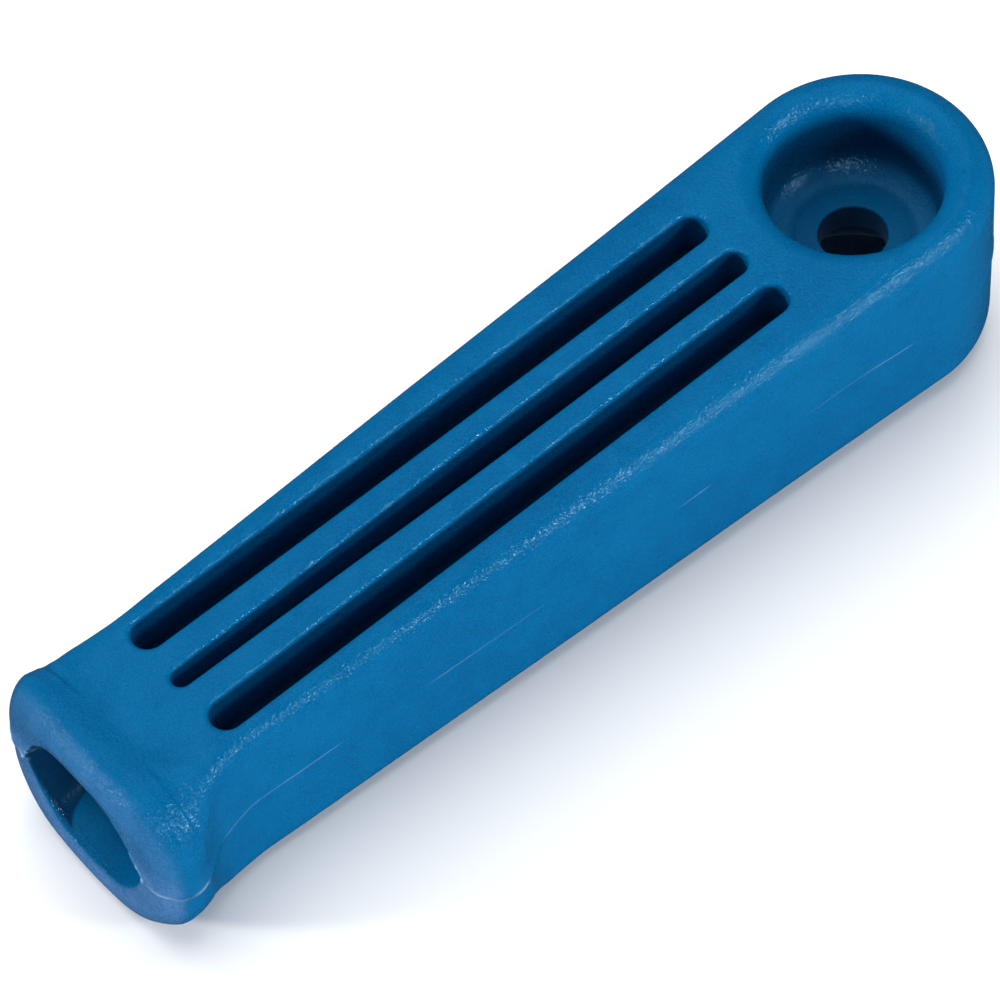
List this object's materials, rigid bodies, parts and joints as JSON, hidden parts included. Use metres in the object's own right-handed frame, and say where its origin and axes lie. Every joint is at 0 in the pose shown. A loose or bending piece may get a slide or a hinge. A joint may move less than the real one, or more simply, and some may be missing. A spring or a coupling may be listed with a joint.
{
  "type": "file handle",
  "caption": "Flat moulded plastic handle for a hand file, with a tang socket in the flared nose, finger slots in both faces and a counterbored hanging hole in the round butt.",
  "frame": {"origin": "on the tang axis, halfway between the nose and the butt", "axes": "+X along the handle from the nose to the butt, +Y across the width, +Z out of one broad face; Z = 0 is the mould parting plane"},
  "size_m": [0.1105, 0.0268, 0.0232],
  "materials": {
    "blue_plastic": "fine spark-eroded grain, satin, mid blue, coloured through"
  },
  "bodies": {
    "root": {"handle_body": "blue_plastic"}
  },
  "joints": []
}
